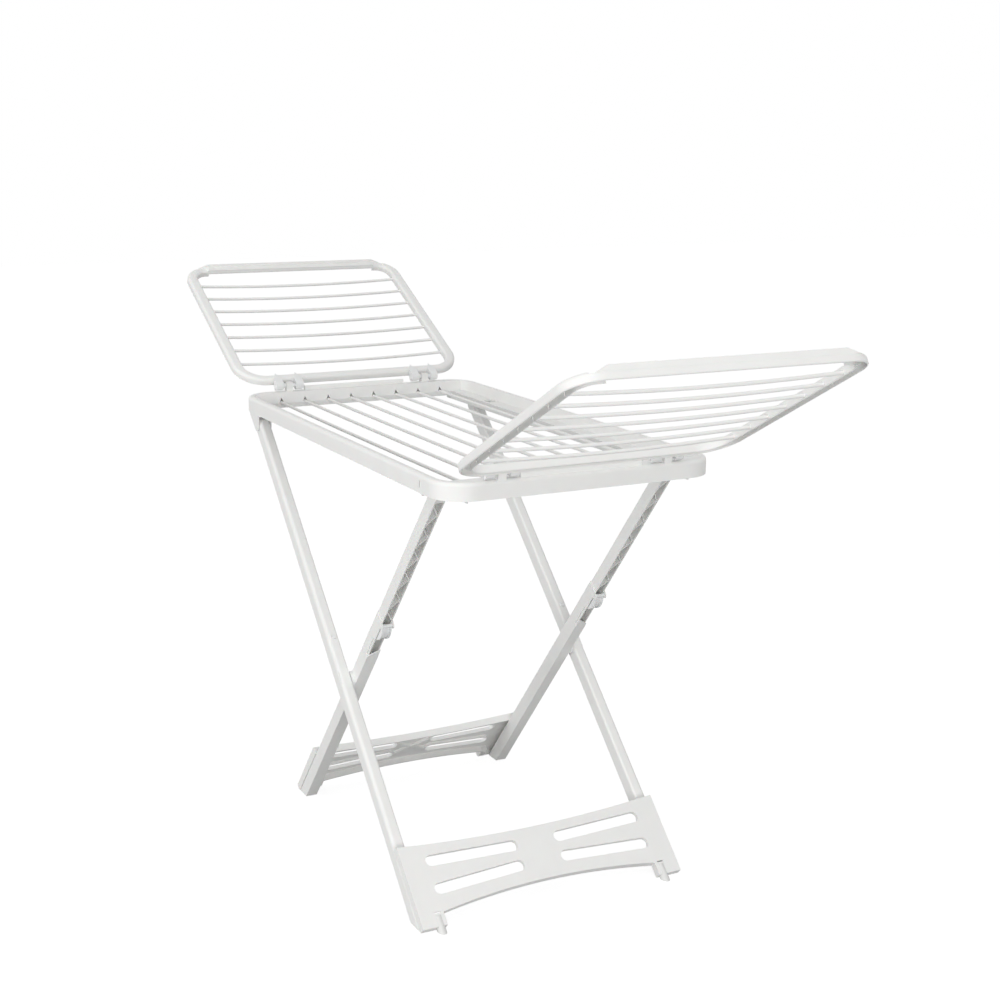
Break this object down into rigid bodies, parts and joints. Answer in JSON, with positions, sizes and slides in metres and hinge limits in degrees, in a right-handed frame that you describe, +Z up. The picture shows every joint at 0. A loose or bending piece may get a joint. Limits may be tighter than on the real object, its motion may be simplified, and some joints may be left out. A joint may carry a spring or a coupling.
{
  "type": "folding clothes airer",
  "caption": "Free-standing folding clothes airer: a rodded deck on crossing moulded legs with telescopic upper parts, slotted crosspieces and a hinged rod wing at each end.",
  "frame": {"origin": "on the floor under the middle of the deck", "axes": "+Z up, +X along the deck towards the feet of the outer legs, +Y across the deck"},
  "size_m": [2.001, 0.5838, 1.1606],
  "materials": {
    "white_moulding": "satin moulded polypropylene",
    "white_rod": "smooth resin-coated rod",
    "white_pin": "satin moulded pin",
    "white_glide": "soft moulded foot",
    "white_clip": "snap-fit clip"
  },
  "bodies": {
    "legs_a": {"leg_a_near": "white_moulding", "leg_a_far": "white_moulding", "crosspiece_a": "white_moulding", "glides_a": "white_glide", "leg_pegs": "white_pin", "cross_pins": "white_pin", "cross_spacers": "white_pin"},
    "legs_b": {"leg_b_near": "white_moulding", "leg_b_far": "white_moulding", "crosspiece_b": "white_moulding", "glides_b": "white_glide", "latch_pins": "white_pin"},
    "upper_near": {"upper_leg_near": "white_moulding"},
    "upper_far": {"upper_leg_far": "white_moulding"},
    "latch_near": {"latch_near": "white_clip"},
    "latch_far": {"latch_far": "white_clip"},
    "deck": {"deck_frame": "white_moulding", "deck_rods": "white_rod", "deck_pins": "white_pin", "hinge_pins_left": "white_pin", "hinge_pins_right": "white_pin"},
    "wing_left": {"wing_frame_left": "white_moulding", "wing_rods_left": "white_rod", "hang_bar_left": "white_moulding", "hinge_clips_left": "white_clip"},
    "wing_right": {"wing_frame_right": "white_moulding", "wing_rods_right": "white_rod", "hang_bar_right": "white_moulding", "hinge_clips_right": "white_clip"}
  },
  "joints": [
    {"name": "leg_fold", "type": "hinge", "parent": "legs_a", "child": "legs_b", "pos_m": [0.03646, 0, 0.37446], "axis": [0, -1, 0], "range_deg": [0, 83]},
    {"name": "deck_tilt", "type": "hinge", "parent": "legs_a", "child": "deck", "pos_m": [-0.4484, 0, 0.837], "axis": [0, -1, 0], "range_deg": [0, 41.5]},
    {"name": "wing_left_fold", "type": "hinge", "parent": "deck", "child": "wing_left", "pos_m": [-0.544, 0, 0.9075], "axis": [0, 1, 0], "range_deg": [0, 152]},
    {"name": "wing_right_fold", "type": "hinge", "parent": "deck", "child": "wing_right", "pos_m": [0.544, 0, 0.9075], "axis": [0, -1, 0], "range_deg": [0, 151]},
    {"name": "upper_near_slide", "type": "slide", "parent": "legs_b", "child": "upper_near", "axis": [0.6431, 0, 0.7658], "range_m": [-0.06, 0]},
    {"name": "upper_far_slide", "type": "slide", "parent": "legs_b", "child": "upper_far", "axis": [0.6431, 0, 0.7658], "range_m": [-0.06, 0]},
    {"name": "latch_near_turn", "type": "hinge", "parent": "legs_b", "child": "latch_near", "pos_m": [0.19431, -0.24472, 0.53443], "axis": [0, -1, 0], "range_deg": [0, 25]},
    {"name": "latch_far_turn", "type": "hinge", "parent": "legs_b", "child": "latch_far", "pos_m": [0.19431, 0.24472, 0.53443], "axis": [0, -1, 0], "range_deg": [0, 25]}
  ],
  "couplings": [
    {"joint": "deck_tilt", "follows": "leg_fold", "ratio": 0.5},
    {"joint": "upper_far_slide", "follows": "upper_near_slide", "ratio": 1}
  ]
}
